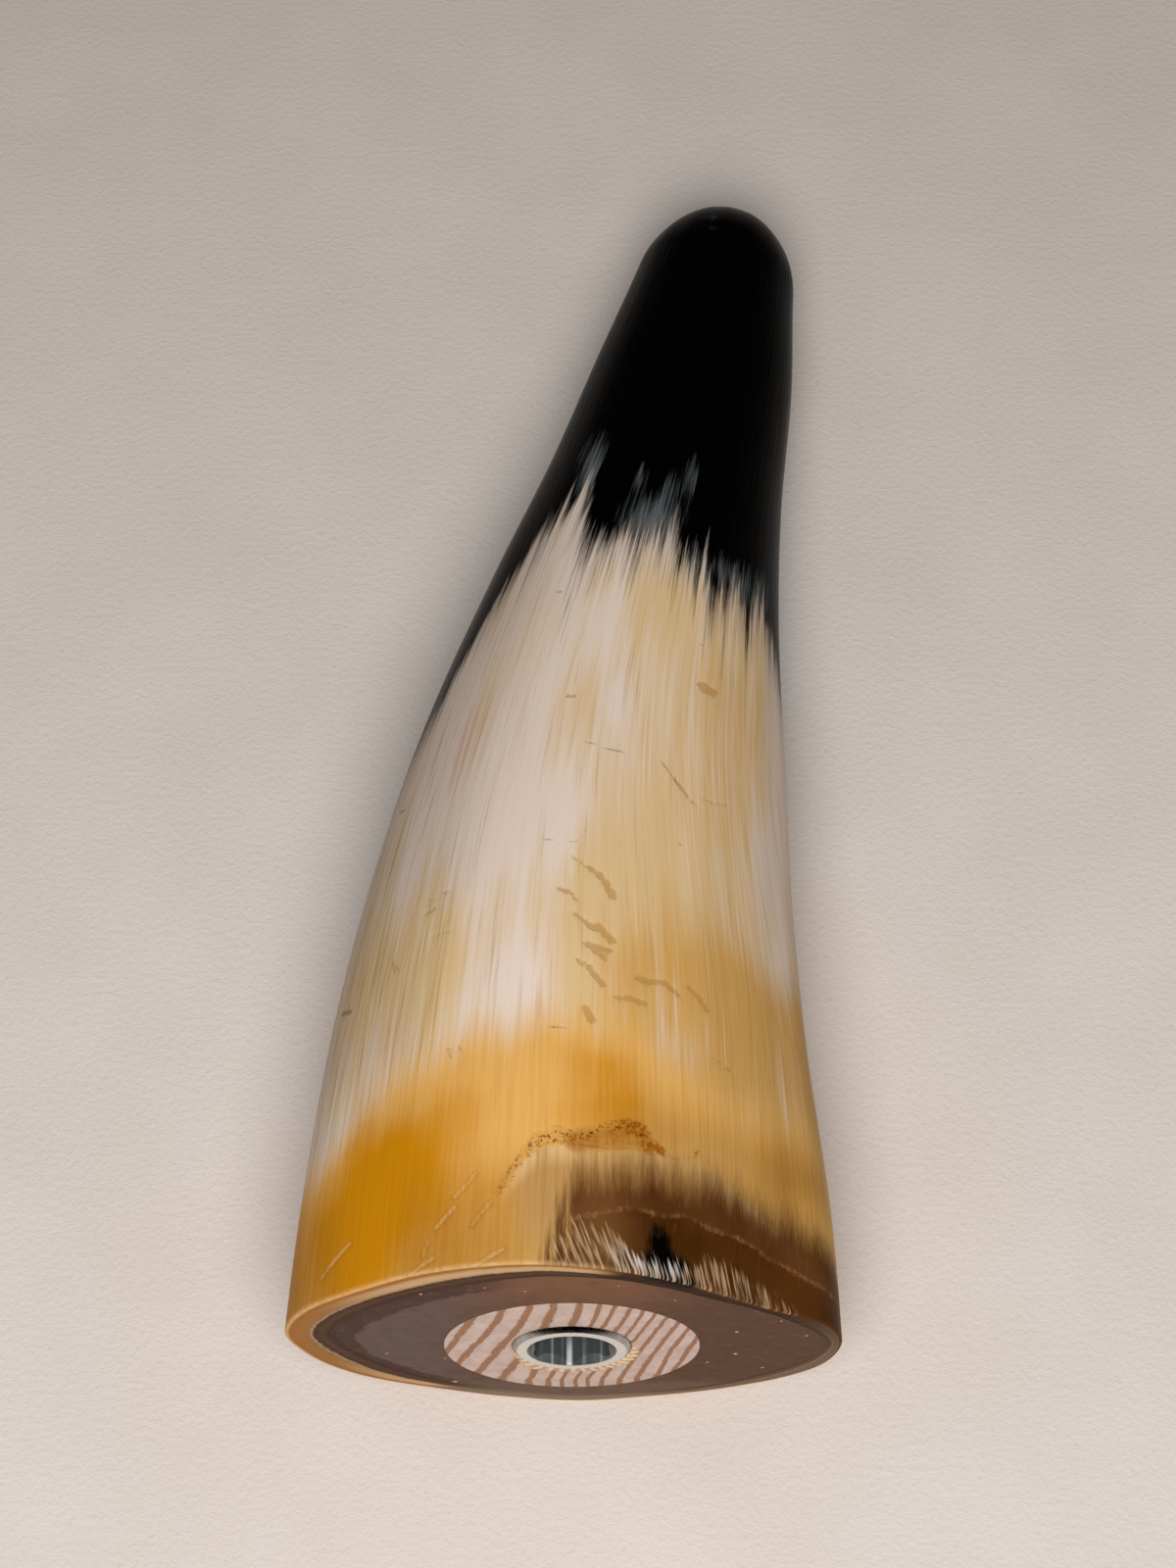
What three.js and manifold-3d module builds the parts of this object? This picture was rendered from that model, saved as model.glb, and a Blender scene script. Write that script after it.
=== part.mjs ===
// Buffalo horn, cut square at the base, filled and fitted with a threaded insert.
// Millimetres, +Z up. The horn lies on its flat side, its cut face towards -Y and its tip towards +Y.
import * as THREE from "three";
import { mergeVertices } from "three/addons/utils/BufferGeometryUtils.js";
import Module from "manifold-3d";

const wasm = await Module();
wasm.setup();
const { Manifold, Mesh } = wasm;

// ---- driving dimensions ----
const HORN_LENGTH = 162.6; // cut face to tip, along Y
const TIP_ROUND = 12; // length of the blunt domed tip
const BLEND_LENGTH = 110; // over this the section goes from the lens shape of the base to an ellipse
const BLEND_POWER = 1.2;
const LEAN_LENGTH = 25; // over this the sections come to stand square to the centre line
const WALL_GROWTH = 0.0012; // share of its width that the hollow loses to the wall in each mm
const GAP = 0.3; // between pieces that touch in the real thing

const HOLLOW_DEPTH = 64;
const HOLLOW_BLUNTNESS = 0.4; // power of the cosine that closes the end of the hollow
const DOWEL_D = 28;
const DOWEL_LENGTH = 22;
const DOWEL_BORE_DEPTH = 17; // for the insert
const DOWEL_X = 0;
const DOWEL_Z = 19.2;

const INSERT_D = 13; // flange at the face
const INSERT_BODY_D = 12.2;
const INSERT_LENGTH = 15;
const INSERT_FLANGE = 1.2;
const INSERT_PROUD = 0.55; // stands out of the cut face
const INSERT_RIM_D = 12; // outer edge of the chamfered front
const DRIVE_MOUTH_D = 9.8; // inner edge of the front, before a 45 degree chamfer
const HEX_FLATS = 8;
const HEX_DEPTH = 5;
const HEX_RELIEF_D = 1.8; // rounded relief at each corner of the hex
const THREAD_MINOR_D = 6.8;
const THREAD_MAJOR_D = 8;
const THREAD_PITCH = 1.25;

// Centre line and half width of the horn at distances from the cut face: [y, x, half width].
const STATIONS = [
  [0, -0.85, 30.4],
  [12, -0.6, 29.7],
  [35, -0.2, 27.2],
  [55, 1.3, 24.7],
  [75, 3.9, 22],
  [95, 7.3, 18.5],
  [115, 11.5, 15.2],
  [135, 15.8, 12.9],
  [150, 18.7, 10.7],
  [165, 21.8, 9],
];
// Half height of the horn at distances from the cut face. Its lowest line lies flat.
const HEIGHTS = [
  [0, 22.7],
  [40, 20.9],
  [80, 17.2],
  [120, 12.9],
  [165, 8.7],
];
// The cut face about its centre, in half widths and half heights: [x, z].
const FACE_OUTLINE = [
  [-1, 0.05],
  [-0.92, 0.35],
  [-0.73, 0.62],
  [-0.45, 0.89],
  [-0.12, 1],
  [0.15, 0.93],
  [0.42, 0.74],
  [0.63, 0.5],
  [0.79, 0.325],
  [0.93, 0.18],
  [1, -0.05],
  [0.99, -0.27],
  [0.95, -0.42],
  [0.81, -0.63],
  [0.6, -0.8],
  [0.27, -0.95],
  [0.08, -1],
  [-0.21, -0.94],
  [-0.5, -0.79],
  [-0.78, -0.57],
  [-0.95, -0.24],
];
// The hollow at the cut face, about the same centre: [x, z] in mm.
const HOLLOW_OUTLINE = [
  [-24.9, 0.4],
  [-24, 3.7],
  [-21.3, 7.9],
  [-18, 11.2],
  [-9.5, 16.3],
  [-1.5, 18.7],
  [6.5, 17.2],
  [15, 12.1],
  [23.9, 4.9],
  [27.2, 0.7],
  [28.6, -3],
  [28, -5.8],
  [22.4, -12.7],
  [15.5, -17.2],
  [7, -19.8],
  [0.4, -20.4],
  [-6, -18.8],
  [-12.9, -15.7],
  [-20.8, -8.6],
  [-23.5, -3.9],
];

// ---- curves ----
// A smooth curve through [x, y] points, cubic between each two.
function through(points) {
  const n = points.length;
  const h = [];
  const d = [];
  for (let i = 0; i < n - 1; i++) {
    h.push(points[i + 1][0] - points[i][0]);
    d.push((points[i + 1][1] - points[i][1]) / h[i]);
  }
  const m = points.map((p, i) =>
    i > 0 && i < n - 1 ? (d[i - 1] * h[i] + d[i] * h[i - 1]) / (h[i - 1] + h[i]) : 0,
  );
  m[0] = 1.5 * d[0] - 0.5 * m[1];
  m[n - 1] = 1.5 * d[n - 2] - 0.5 * m[n - 2];
  const slope = (i, t) => {
    const t2 = t * t;
    const a = (6 * t2 - 6 * t) * (points[i][1] - points[i + 1][1]);
    return a / h[i] + (3 * t2 - 4 * t + 1) * m[i] + (3 * t2 - 2 * t) * m[i + 1];
  };
  const value = (i, t) => {
    const t2 = t * t;
    const t3 = t2 * t;
    const a = (2 * t3 - 3 * t2 + 1) * points[i][1] + (3 * t2 - 2 * t3) * points[i + 1][1];
    return a + h[i] * ((t3 - 2 * t2 + t) * m[i] + (t3 - t2) * m[i + 1]);
  };
  const find = (x) => {
    let i = 0;
    while (i < n - 2 && x > points[i + 1][0]) i++;
    return [i, Math.min(1, Math.max(0, (x - points[i][0]) / h[i]))];
  };
  const curve = (x) => value(...find(x));
  curve.slope = (x) => slope(...find(x));
  return curve;
}

// The same round a full turn, for points given by angle.
function around(points) {
  const all = [];
  for (const k of [-1, 0, 1]) {
    for (const [a, v] of points) all.push([a + 2 * Math.PI * k, v]);
  }
  return through(all);
}

const centreX = through(STATIONS.map(([y, x]) => [y, x]));
const halfWidth = through(STATIONS.map(([y, , a]) => [y, a]));
const halfHeight = through(HEIGHTS);

// Radius of a closed outline by direction: 0 at the left edge, a quarter turn at the top.
function outline(points) {
  const byTurn = points.map(([x, z]) => [
    (Math.atan2(z, -x) + 2 * Math.PI) % (2 * Math.PI),
    Math.hypot(x, z),
  ]);
  return around(byTurn.sort((p, q) => p[0] - q[0]));
}
const faceRadius = outline(FACE_OUTLINE);
const hollowRadius = outline(HOLLOW_OUTLINE);

// A point at x, z from the centre line, in the section that is y along the horn.
function place(y, x, z) {
  const lean = Math.atan(centreX.slope(y)) * Math.min(1, y / LEAN_LENGTH);
  return [centreX(y) + x * Math.cos(lean), y - x * Math.sin(lean), halfHeight(y) + z];
}

// The outline of the horn at y along it, shrunk towards the centre line.
function hornRing(y, count, shrink) {
  const lens = Math.max(0, 1 - y / BLEND_LENGTH) ** BLEND_POWER;
  const ring = [];
  for (let j = 0; j < count; j++) {
    const turn = (2 * Math.PI * j) / count;
    const r = (lens * faceRadius(turn) + 1 - lens) * shrink;
    ring.push(place(y, -Math.cos(turn) * r * halfWidth(y), Math.sin(turn) * r * halfHeight(y)));
  }
  return ring;
}

// The outline of the hollow at y along the horn: it narrows a little faster than the horn does.
function hollowRing(y, count, shrink, gap) {
  const narrow = (halfWidth(y) / halfWidth(0) - WALL_GROWTH * y) * shrink;
  const ring = [];
  for (let j = 0; j < count; j++) {
    const turn = (2 * Math.PI * j) / count;
    const r = hollowRadius(turn) * narrow - gap;
    ring.push(place(y, -Math.cos(turn) * r, Math.sin(turn) * r));
  }
  return ring;
}

// ---- solids ----
// A closed three.js geometry as a solid that can be joined and cut.
function solid(geometry) {
  const plain = geometry.clone();
  plain.deleteAttribute("normal");
  plain.deleteAttribute("uv");
  const merged = mergeVertices(plain);
  const vertProperties = merged.attributes.position.array;
  const triVerts = new Uint32Array(merged.index.array);
  return new Manifold(new Mesh({ numProp: 3, vertProperties, triVerts }));
}

// Joins closed rings of points into a solid, each end closed by a fan to its middle point.
function loft(rings) {
  const n = rings[0].length;
  const points = rings.flat();
  const faces = [];
  for (let i = 0; i < rings.length - 1; i++) {
    for (let j = 0; j < n; j++) {
      const a = i * n + j;
      const b = i * n + ((j + 1) % n);
      faces.push(a, b, a + n, b, b + n, a + n);
    }
  }
  for (const end of [0, rings.length - 1]) {
    const middle = [0, 1, 2].map((k) => rings[end].reduce((s, p) => s + p[k], 0) / n);
    points.push(middle);
    for (let j = 0; j < n; j++) {
      const a = end * n + j;
      const b = end * n + ((j + 1) % n);
      const c = points.length - 1;
      faces.push(...(end ? [a, b, c] : [b, a, c]));
    }
  }
  const geometry = new THREE.BufferGeometry();
  geometry.setAttribute("position", new THREE.Float32BufferAttribute(points.flat(), 3));
  geometry.setIndex(faces);
  return solid(geometry);
}

// The outside of the horn: its length, then a domed tip that ends in a very small flat.
function hornOutside() {
  const sides = 56;
  const steps = 30;
  const domeSteps = 7;
  const straight = HORN_LENGTH - TIP_ROUND;
  const rings = [];
  for (let i = 0; i < steps; i++) rings.push(hornRing((straight * i) / steps, sides, 1));
  for (let i = 0; i < domeSteps; i++) {
    const a = (Math.PI / 2) * (i / (domeSteps + 0.25));
    rings.push(hornRing(straight + TIP_ROUND * Math.sin(a), sides, Math.cos(a)));
  }
  return loft(rings);
}

// The hollow of the base, or with a gap the filler in it. It starts at y = from.
function hollow(gap, from) {
  const sides = 44;
  const steps = 11;
  const rings = [];
  for (let i = 0; i <= steps; i++) {
    const a = (Math.PI / 2) * (i / (steps + 0.6));
    const y = (HOLLOW_DEPTH - gap) * Math.sin(a);
    rings.push(hollowRing(y, sides, Math.cos(a) ** HOLLOW_BLUNTNESS, gap));
  }
  for (const p of rings[0]) p[1] = from;
  return loft(rings);
}

// A round bar about the Y axis from y0 to y1, whose diameter goes from d0 to d1.
function bar(d0, d1, y0, y1, sides) {
  return new THREE.CylinderGeometry(d1 / 2, d0 / 2, y1 - y0, sides).translate(0, (y0 + y1) / 2, 0);
}

const CUT = 1; // cutting solids run this far past the faces that they cut
const horn = hornOutside().subtract(hollow(0, -CUT));

const DOWEL_SIDES = 56;
const dowelBore = bar(DOWEL_D + 2 * GAP, DOWEL_D + 2 * GAP, -CUT, DOWEL_LENGTH + GAP, DOWEL_SIDES);
const resin = hollow(GAP, 0).subtract(solid(dowelBore.translate(DOWEL_X, 0, DOWEL_Z)));

// The dowel and the insert are made about the Y axis, with y = 0 at the cut face.
const INSERT_SIDES = 40;
const bodyBore = INSERT_BODY_D + 2 * GAP;
const flangeBore = INSERT_D + 2 * GAP;
const dowel = solid(bar(DOWEL_D, DOWEL_D, 0, DOWEL_LENGTH, DOWEL_SIDES))
  .subtract(solid(bar(bodyBore, bodyBore, -CUT, DOWEL_BORE_DEPTH, INSERT_SIDES)))
  .subtract(solid(bar(flangeBore, flangeBore, -CUT, INSERT_FLANGE + GAP, INSERT_SIDES)));

// The thread in the insert: one solid that is cut out of it, its radius a wave that winds along Y.
function threadCore(y0, y1) {
  const sides = 24;
  const stepsPerTurn = 4;
  const steps = Math.round(((y1 - y0) / THREAD_PITCH) * stepsPerTurn);
  const height = (THREAD_MAJOR_D - THREAD_MINOR_D) / 2;
  const rings = [];
  for (let i = 0; i <= steps; i++) {
    const y = y0 + ((y1 - y0) * i) / steps;
    const fade = Math.min(1, i / stepsPerTurn, (steps - i) / stepsPerTurn);
    const ring = [];
    for (let j = 0; j < sides; j++) {
      const turn = (2 * Math.PI * j) / sides;
      const phase = (y - y0) / THREAD_PITCH - j / sides;
      const wave = Math.abs(2 * (phase - Math.floor(phase)) - 1);
      const r = THREAD_MINOR_D / 2 + height * wave * fade;
      ring.push([-r * Math.cos(turn), y, r * Math.sin(turn)]);
    }
    rings.push(ring);
  }
  return loft(rings);
}

// The hex recess, with a corner at the top and at the bottom and a round relief at each corner.
function hexRecess(y0, y1) {
  const corner = HEX_FLATS / 2 / Math.cos(Math.PI / 6);
  let recess = solid(bar(2 * corner, 2 * corner, y0, y1, 6));
  for (let k = 0; k < 6; k++) {
    const a = (Math.PI / 3) * k;
    const r = corner - HEX_RELIEF_D / 2 + 0.05;
    const relief = bar(HEX_RELIEF_D, HEX_RELIEF_D, y0, y1, 12);
    recess = recess.add(solid(relief.translate(r * Math.sin(a), 0, r * Math.cos(a))));
  }
  return recess;
}

const front = -INSERT_PROUD;
const chamferDepth = (DRIVE_MOUTH_D - HEX_FLATS) / 2;
const insert = solid(bar(INSERT_RIM_D, INSERT_D, front, 0, INSERT_SIDES))
  .add(solid(bar(INSERT_D, INSERT_D, 0, INSERT_FLANGE, INSERT_SIDES)))
  .add(solid(bar(INSERT_BODY_D, INSERT_BODY_D, 0, INSERT_LENGTH, INSERT_SIDES)))
  .subtract(solid(bar(DRIVE_MOUTH_D + 2 * CUT, HEX_FLATS, front - CUT, front + chamferDepth, INSERT_SIDES)))
  .subtract(hexRecess(front - CUT, HEX_DEPTH))
  .subtract(threadCore(HEX_DEPTH - 0.5, INSERT_LENGTH + CUT));

// ---- the part ----
// A solid as a named mesh with its own material.
function piece(name, made, color, roughness, metalness) {
  const m = made.getMesh();
  const n = m.numProp;
  const xyz = new Float32Array(3 * m.numVert);
  for (let i = 0; i < m.numVert; i++) xyz.set(m.vertProperties.subarray(i * n, i * n + 3), 3 * i);
  const geometry = new THREE.BufferGeometry();
  geometry.setAttribute("position", new THREE.BufferAttribute(xyz, 3));
  geometry.setIndex(new THREE.BufferAttribute(m.triVerts, 1));
  geometry.computeVertexNormals();
  const mesh = new THREE.Mesh(geometry, new THREE.MeshStandardMaterial({ color, roughness, metalness }));
  mesh.name = name;
  return mesh;
}

const part = new THREE.Group();
part.add(piece("horn", horn, 0x4a3a2c, 0.4, 0));
part.add(piece("resin_fill", resin, 0x5a3a2a, 0.8, 0));

const plug = new THREE.Group();
plug.position.set(DOWEL_X, 0, DOWEL_Z);
plug.add(piece("dowel", dowel, 0xd9bd9b, 0.8, 0));
plug.add(piece("threaded_insert", insert, 0x8d8d8f, 0.4, 1));
part.add(plug);

// The origin is the middle of the part's bounding box, on the surface that it lies on.
const box = new THREE.Box3().setFromObject(part);
const middle = box.getCenter(new THREE.Vector3());
part.position.set(-middle.x, -middle.y, -box.min.z);

export default part;
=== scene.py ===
"""A buffalo horn, cut square at the base, filled, and fitted with a threaded insert.

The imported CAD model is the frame. Four meshes take the place of its four nodes, each with its own
procedural material. Shapes are worked out in millimetres, in horn coordinates: y = 0 is the cut face,
y runs to the tip, z = 0 is the surface that the horn lies on, and x = 0 is the axis of the dowel.
"""
import math

import bpy
import numpy as np
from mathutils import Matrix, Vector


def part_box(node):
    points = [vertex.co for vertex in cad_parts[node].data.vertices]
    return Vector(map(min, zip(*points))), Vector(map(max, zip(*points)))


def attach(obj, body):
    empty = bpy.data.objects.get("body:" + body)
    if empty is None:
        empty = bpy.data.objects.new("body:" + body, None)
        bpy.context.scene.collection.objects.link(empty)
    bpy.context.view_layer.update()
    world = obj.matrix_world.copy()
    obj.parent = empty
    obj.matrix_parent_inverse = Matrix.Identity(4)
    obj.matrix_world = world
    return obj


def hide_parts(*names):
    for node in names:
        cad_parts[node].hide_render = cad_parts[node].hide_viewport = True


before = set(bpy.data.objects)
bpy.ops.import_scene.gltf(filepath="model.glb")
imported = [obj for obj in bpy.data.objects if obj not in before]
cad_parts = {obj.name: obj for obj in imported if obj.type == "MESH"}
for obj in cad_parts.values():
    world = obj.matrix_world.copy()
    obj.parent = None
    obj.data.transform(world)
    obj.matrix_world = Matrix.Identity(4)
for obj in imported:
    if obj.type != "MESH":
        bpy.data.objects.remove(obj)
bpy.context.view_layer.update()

MM = 0.001
TAU = 2 * math.pi

# ---- dimensions in mm ----
HORN_LENGTH = 162.6
TIP_ROUND = 12
BLEND_LENGTH = 110
BLEND_POWER = 1.2
LEAN_LENGTH = 25
HOLLOW_DEPTH = 64
HOLLOW_BLUNTNESS = 0.4
WALL_GROWTH = 0.0012
RIM_ROUND = 0.3
SKIN_INSET = 0.06  # keeps the smooth skin inside the facets of the solid that it stands for
DOWEL_R = 14
DOWEL_LENGTH = 22
DOWEL_Z = 19.2
BORE_R = 6.4
SEAT_R = 6.62
BORE_DEPTH = 17
INSERT_LENGTH = 15
INSERT_PROUD = 0.55
FLANGE_R = 6.5
FLANGE_RIM_R = 6.0
FLANGE_LENGTH = 1.2
BODY_R = 6.1
MOUTH_R = 4.9
HEX_HALF_FLATS = 4
HEX_DEPTH = 5
RELIEF_R = 0.9
THREAD_MINOR_R = 3.4
THREAD_MAJOR_R = 4
THREAD_PITCH = 1.25

# Centre line and half width along the horn: [y, x, half width], and half height: [y, half height].
STATIONS = [
    (0, -0.85, 30.4), (12, -0.6, 29.7), (35, -0.2, 27.2), (55, 1.3, 24.7), (75, 3.9, 22),
    (95, 7.3, 18.5), (115, 11.5, 15.2), (135, 15.8, 12.9), (150, 18.7, 10.7), (165, 21.8, 9),
]
HEIGHTS = [(0, 22.7), (40, 20.9), (80, 17.2), (120, 12.9), (165, 8.7)]
# Outline of the cut face in half widths and half heights, and of the hollow in mm: [x, z].
FACE_OUTLINE = [
    (-1, 0.05), (-0.92, 0.35), (-0.73, 0.62), (-0.45, 0.89), (-0.12, 1), (0.15, 0.93), (0.42, 0.74),
    (0.63, 0.5), (0.79, 0.325), (0.93, 0.18), (1, -0.05), (0.99, -0.27), (0.95, -0.42), (0.81, -0.63),
    (0.6, -0.8), (0.27, -0.95), (0.08, -1), (-0.21, -0.94), (-0.5, -0.79), (-0.78, -0.57), (-0.95, -0.24),
]
HOLLOW_OUTLINE = [
    (-24.9, 0.4), (-24, 3.7), (-21.3, 7.9), (-18, 11.2), (-9.5, 16.3), (-1.5, 18.7), (6.5, 17.2),
    (15, 12.1), (23.9, 4.9), (27.2, 0.7), (28.6, -3), (28, -5.8), (22.4, -12.7), (15.5, -17.2),
    (7, -19.8), (0.4, -20.4), (-6, -18.8), (-12.9, -15.7), (-20.8, -8.6), (-23.5, -3.9),
]

# The dowel's box in the frame says where horn coordinates start.
low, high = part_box("dowel")
ORIGIN = np.array([(low[0] + high[0]) / 2, low[1], (low[2] + high[2]) / 2 - DOWEL_Z * MM])


# ---- curves ----
def through(points):
    """A smooth curve through (x, y) points, cubic between each two."""
    p = np.array(points, float)
    x, y = p[:, 0], p[:, 1]
    h = np.diff(x)
    d = np.diff(y) / h
    m = np.empty(len(x))
    m[1:-1] = (d[:-1] * h[1:] + d[1:] * h[:-1]) / (h[:-1] + h[1:])
    m[0] = 1.5 * d[0] - 0.5 * m[1]
    m[-1] = 1.5 * d[-1] - 0.5 * m[-2]

    def curve(at, slope=False):
        at = np.asarray(at, float)
        i = np.clip(np.searchsorted(x, at) - 1, 0, len(h) - 1)
        t = np.clip((at - x[i]) / h[i], 0, 1)
        if slope:
            ends = (6 * t * t - 6 * t) * (y[i] - y[i + 1]) / h[i]
            return ends + (3 * t * t - 4 * t + 1) * m[i] + (3 * t * t - 2 * t) * m[i + 1]
        ends = y[i] + (y[i + 1] - y[i]) * (3 * t**2 - 2 * t**3)
        return ends + h[i] * ((t**3 - 2 * t**2 + t) * m[i] + (t**3 - t**2) * m[i + 1])

    return curve


def around(points, full):
    """The same round a full turn: points are (angle, value), and full is the angle of a whole turn."""
    ordered = sorted(points)
    return through([(a + full * k, v) for k in (-1, 0, 1) for a, v in ordered])


def outline(points):
    """Radius of a closed outline by direction: 0 at the left edge, a quarter turn at the top."""
    return around([(math.atan2(z, -x) % TAU, math.hypot(x, z)) for x, z in points], TAU)


centre_x = through([(y, x) for y, x, _ in STATIONS])
half_width = through([(y, w) for y, _, w in STATIONS])
half_height = through(HEIGHTS)
face_radius = outline(FACE_OUTLINE)
hollow_radius = outline(HOLLOW_OUTLINE)


def place(along, x, z):
    """Points at x, z from the centre line, in the section at that distance along the horn."""
    lean = np.arctan(centre_x(along, slope=True)) * np.minimum(1, along / LEAN_LENGTH)
    return np.stack(
        [centre_x(along) + x * np.cos(lean), along - x * np.sin(lean), half_height(along) + z], -1
    )


def skin(along, turn, shrink=1.0, raised=0.0):
    """Points on the outside of the horn, raised outwards by some mm."""
    lens = np.maximum(0, 1 - along / BLEND_LENGTH) ** BLEND_POWER
    r = (lens * face_radius(turn) + 1 - lens) * shrink
    x = -np.cos(turn) * (r * half_width(along) + raised)
    z = np.sin(turn) * (r * half_height(along) + raised)
    return place(along, x, z)


def hollow_wall(along, turn, shrink=1.0, gap=0.0):
    """Points on the wall of the hollow, or with a gap on the filler in it."""
    narrow = (half_width(along) / half_width(0) - WALL_GROWTH * along) * shrink
    r = hollow_radius(turn) * narrow - gap
    return place(along, -np.cos(turn) * r, np.sin(turn) * r)


# ---- meshes ----
def new_object(name, data):
    thing = bpy.data.objects.new(name, data)
    bpy.context.collection.objects.link(thing)
    return thing


def new_piece(name, node, points, faces, fields, material):
    """A mesh in place of a CAD node. Points are in mm; fields are numbers or vectors kept per point."""
    mesh = bpy.data.meshes.new(name)
    mesh.from_pydata((points * MM + ORIGIN).tolist(), [], faces)
    for field, values in fields.items():
        kind = "FLOAT_VECTOR" if values.ndim == 2 else "FLOAT"
        layer = mesh.attributes.new(field, kind, "POINT")
        layer.data.foreach_set("vector" if values.ndim == 2 else "value", values.astype(np.float32).ravel())
    mesh.shade_smooth()
    mesh.validate()
    mesh.materials.append(material)
    piece = new_object(name, mesh)
    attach(piece, "root")
    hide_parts(node)


def tube_faces(rows, count, capped):
    """Faces of a grid of rows of points round a full turn. Capped: the first and last rows close on a
    point each, which follow the grid's own points; otherwise the last row joins the first."""
    faces = []
    for i in range(rows if not capped else rows - 1):
        a, b = i * count, (i + 1) % rows * count
        faces += [(a + j, b + j, b + (j + 1) % count, a + (j + 1) % count) for j in range(count)]
    if capped:
        first, last, end = rows * count, rows * count + 1, (rows - 1) * count
        faces += [(first, j, (j + 1) % count) for j in range(count)]
        faces += [(last, end + (j + 1) % count, end + j) for j in range(count)]
    return faces


def capped(grid):
    """The points of a grid of rows, then the middle of its first row and of its last."""
    flat = grid.reshape(-1, grid.shape[-1])
    return np.concatenate([flat, [grid[0].mean(0)], [grid[-1].mean(0)]])


# Sines that never line up: how fast each runs along a and b, and its phase.
SINES = [(1, 0.6, 0.3), (-0.7, 1.1, 1.7), (1.6, -0.9, 4.1), (0.4, 1.9, 5.2), (2.3, 1.3, 2.6)]


def waves(a, b, scale):
    """A smooth irregular field of about -1 to 1."""
    total = 0
    for k, (u, v, phase) in enumerate(SINES):
        total = total + np.sin((u * a + v * b) / scale + phase + k)
    return total / 3


# ---- materials ----
def tone(red, green, blue):
    """A colour given as seen on a screen, 0 to 255, as the linear colour that a shader takes."""
    share = np.array([red, green, blue]) / 255
    linear = np.where(share <= 0.04045, share / 12.92, ((share + 0.055) / 1.055) ** 2.4)
    return (*linear.tolist(), 1.0)


class Paint:
    """Builds one material. Each method adds a shader node and returns its output."""

    def __init__(self, name):
        self.material = bpy.data.materials.new(name)
        self.material.use_nodes = True
        self.tree = self.material.node_tree
        self.surface = self.tree.nodes["Principled BSDF"]

    def put(self, socket, value):
        """Fills a socket with a node's output, a constant, or a field given by its name."""
        value = self.field(value) if isinstance(value, str) else value
        if isinstance(value, bpy.types.NodeSocket):
            self.tree.links.new(value, socket)
        else:
            socket.default_value = value

    def add(self, kind, inputs, output=0, **settings):
        node = self.tree.nodes.new(kind)
        for name, value in settings.items():
            setattr(node, name, value)
        for key, value in inputs.items():
            self.put(node.inputs[key], value)
        return node.outputs[output]

    def field(self, name):
        return self.add("ShaderNodeAttribute", {}, "Fac", attribute_name=name)

    def places(self, name):
        return self.add("ShaderNodeAttribute", {}, "Vector", attribute_name=name)

    def math(self, operation, a, b=0.0):
        return self.add("ShaderNodeMath", {0: a, 1: b}, operation=operation)

    def plus(self, *terms, **noises):
        """The sum of terms, each a value or a pair (value, weight), and of own noises by weight."""
        total = None
        for term in (*terms, *((getattr(self, name), weight) for name, weight in noises.items())):
            term = self.times(*term) if isinstance(term, tuple) else term
            total = term if total is None else self.math("ADD", total, term)
        return total

    def times(self, *factors):
        total = factors[0]
        for factor in factors[1:]:
            total = self.math("MULTIPLY", total, factor)
        return total

    def smooth(self, value, start, end, low=0.0, high=1.0):
        """From low to high as the value goes from start to end, with soft ends."""
        inputs = {"Value": value, "From Min": start, "From Max": end, "To Min": low, "To Max": high}
        return self.add("ShaderNodeMapRange", inputs, interpolation_type="SMOOTHSTEP")

    def mix(self, share, below, above):
        return self.add("ShaderNodeMix", {0: share, 6: below, 7: above}, 2, data_type="RGBA")

    def tint(self, share, below, *colour):
        return self.mix(share, below, tone(*colour))

    def ramp(self, value, stops):
        """A colour by value: stops are (position, red, green, blue)."""
        output = self.add("ShaderNodeValToRGB", {0: value})
        elements = output.node.color_ramp.elements
        while len(elements) < len(stops):
            elements.new(0.5)
        for element, (position, *colour) in zip(elements, stops):
            element.position = position
            element.color = tone(*colour)
        return output

    def noise(self, at, size, detail, roughness=0.5):
        """Noise from about -1 to 1 whose blots measure size, a number or one for each direction."""
        size = size if isinstance(size, tuple) else (size, size, size)
        scaled = self.add("ShaderNodeMapping", {"Vector": at, "Scale": tuple(1 / s for s in size)})
        inputs = {"Vector": scaled, "Scale": 1.0, "Detail": detail, "Roughness": roughness}
        value = self.add("ShaderNodeTexNoise", inputs)
        return self.add("ShaderNodeMath", {0: value, 1: 4.0, 2: -2.0}, operation="MULTIPLY_ADD")

    def bump(self, height, distance):
        return self.add("ShaderNodeBump", {"Height": height, "Distance": distance * MM})

    def finish(self, colour, roughness, normal, **others):
        self.put(self.surface.inputs["Base Color"], colour)
        self.put(self.surface.inputs["Roughness"], roughness)
        self.put(self.surface.inputs["Normal"], normal)
        for name, value in others.items():
            self.put(self.surface.inputs[name.replace("_", " ")], value)
        return self.material


# ---- the horn's markings ----
# Edges and lines on the skin: [degrees round from the left edge over the top, mm from the cut face].
INK_EDGE = [
    (0, 64), (14, 69), (22, 73), (28, 76), (33, 84), (38, 90), (43, 95), (50, 99.5), (56, 102), (61, 103),
    (65, 100.4), (69, 96.3), (75, 95.8), (82, 97.5), (92, 97.3), (101, 98.8), (107, 97), (113, 94.8),
    (120, 93.2), (130, 94), (140, 93.5), (150, 94), (160, 91), (172, 87), (200, 80), (235, 68), (270, 61),
    (305, 58), (335, 60),
]
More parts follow.
